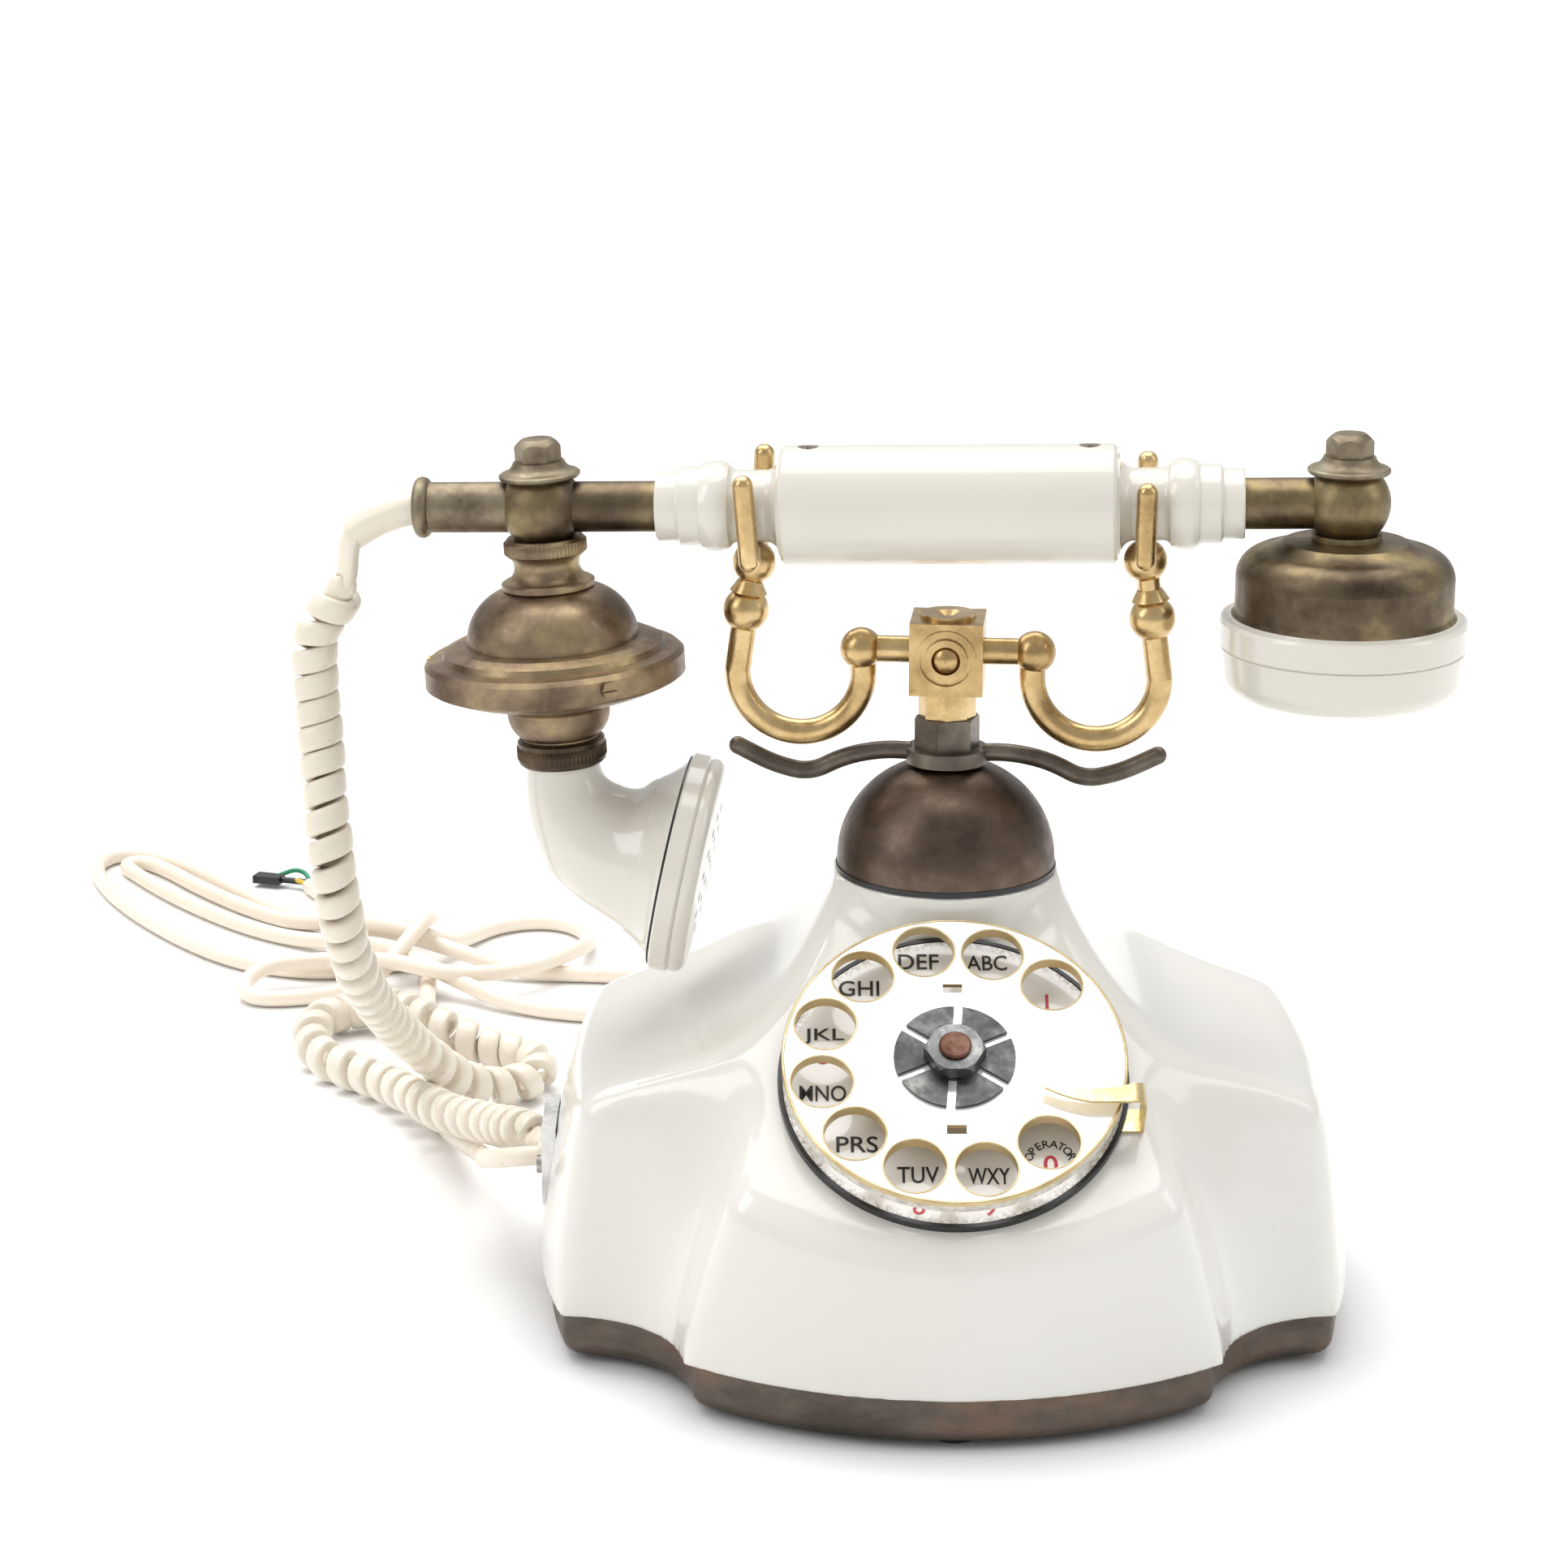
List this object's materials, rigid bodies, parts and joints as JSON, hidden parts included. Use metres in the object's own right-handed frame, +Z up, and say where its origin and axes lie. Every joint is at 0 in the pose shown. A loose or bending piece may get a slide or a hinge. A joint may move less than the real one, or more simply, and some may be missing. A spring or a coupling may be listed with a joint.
{
  "type": "rotary cradle telephone",
  "caption": "Vintage cradle telephone: scalloped base with bell cap and tilted rotary dial, brass fork cradle, horn-mouthed bar handset, curly cord and hanked line cord.",
  "frame": {"origin": "on the floor under the centre of the base, at the middle foot's lower face", "axes": "+Z up, the dial faces -Y, +X to the right seen from the dial"},
  "size_m": [0.3799, 0.4544, 0.2106],
  "materials": {
    "shell_white": "gloss",
    "handset_white": "gloss",
    "cord_ivory": "satin",
    "line_cord_ivory": "satin",
    "aged_brass": "patinated",
    "bright_brass": "polished",
    "dark_bronze": "oxidised",
    "base_bronze": "patinated",
    "wheel_enamel": "gloss",
    "plate_white": "gloss",
    "black_steel": "satin",
    "black_plastic": "satin",
    "copper_shaft": "worn",
    "rubber_black": "matte",
    "steel": "plain",
    "inner_brass": "plain",
    "inner_plastic": "matte"
  },
  "bodies": {
    "base": {"base_plate": "base_bronze", "rubber_feet": "rubber_black", "base_screws": "steel", "base_shell": "shell_white", "dome_gasket": "black_plastic", "bell_dome": "dark_bronze", "wave_bracket": "black_steel", "post_nut": "black_steel", "post_tube": "steel", "dial_cup": "black_plastic", "number_plate": "plate_white", "finger_stop": "bright_brass", "dial_frame": "inner_brass", "main_spring_barrel": "steel", "hook_switch": "steel", "ringer_gongs": "steel", "ringer_motor": "steel", "network_block": "inner_plastic", "cord_clamp_plate": "steel", "cord_grommets": "line_cord_ivory", "curly_cord": "cord_ivory", "line_cord": "line_cord_ivory", "line_cord_hank": "line_cord_ivory", "cord_end_lugs": "steel"},
    "dial_wheel": {"finger_wheel": "wheel_enamel", "wheel_retainer": "black_steel", "hub_nut": "black_steel", "dial_shaft": "copper_shaft", "main_gear": "inner_brass"},
    "governor": {"governor_pinion": "inner_brass"},
    "cradle": {"cradle_cube": "bright_brass", "cradle_collar": "bright_brass", "plunger_rod": "steel", "cross_rods": "bright_brass", "cradle_balls": "bright_brass", "cradle_arms": "bright_brass", "cradle_forks": "bright_brass"},
    "handset": {"handle_barrel": "handset_white", "handle_ends": "handset_white", "handle_tube": "aged_brass", "handle_screws": "steel", "cord_tube": "aged_brass", "elbow_balls": "aged_brass", "finials": "aged_brass", "elbow_nuts": "aged_brass", "transmitter_collar": "aged_brass", "transmitter_neck": "aged_brass", "transmitter_shell": "aged_brass", "transmitter_cover": "aged_brass", "cover_screws": "aged_brass", "transmitter_ring": "dark_bronze", "mouth_horn": "handset_white", "horn_gasket": "black_plastic", "mouth_cap": "handset_white", "transmitter_capsule": "black_plastic", "receiver_shell": "aged_brass", "receiver_ring": "handset_white", "receiver_cap": "handset_white", "receiver_capsule": "black_plastic", "cord_sleeve": "line_cord_ivory"}
  },
  "joints": [
    {"name": "dial_turn", "type": "hinge", "parent": "base", "child": "dial_wheel", "pos_m": [0, -0.061, 0.0805], "axis": [0, 0.5779, -0.8161], "range_deg": [0, 318]},
    {"name": "governor_spin", "type": "hinge", "parent": "base", "child": "governor", "pos_m": [0.0288, -0.05089, 0.06622], "axis": [0, 0.5779, -0.8161], "range_deg": [-1590, 0]},
    {"name": "handset_lift", "type": "slide", "parent": "base", "child": "handset", "axis": [0, 0, 1], "range_m": [0, 0.12]},
    {"name": "cradle_plunge", "type": "slide", "parent": "base", "child": "cradle", "axis": [0, 0, 1], "range_m": [0, 0.005]}
  ],
  "couplings": [
    {"joint": "governor_spin", "follows": "dial_turn", "ratio": -5},
    {"joint": "cradle_plunge", "follows": "handset_lift", "ratio": 0.0416}
  ]
}
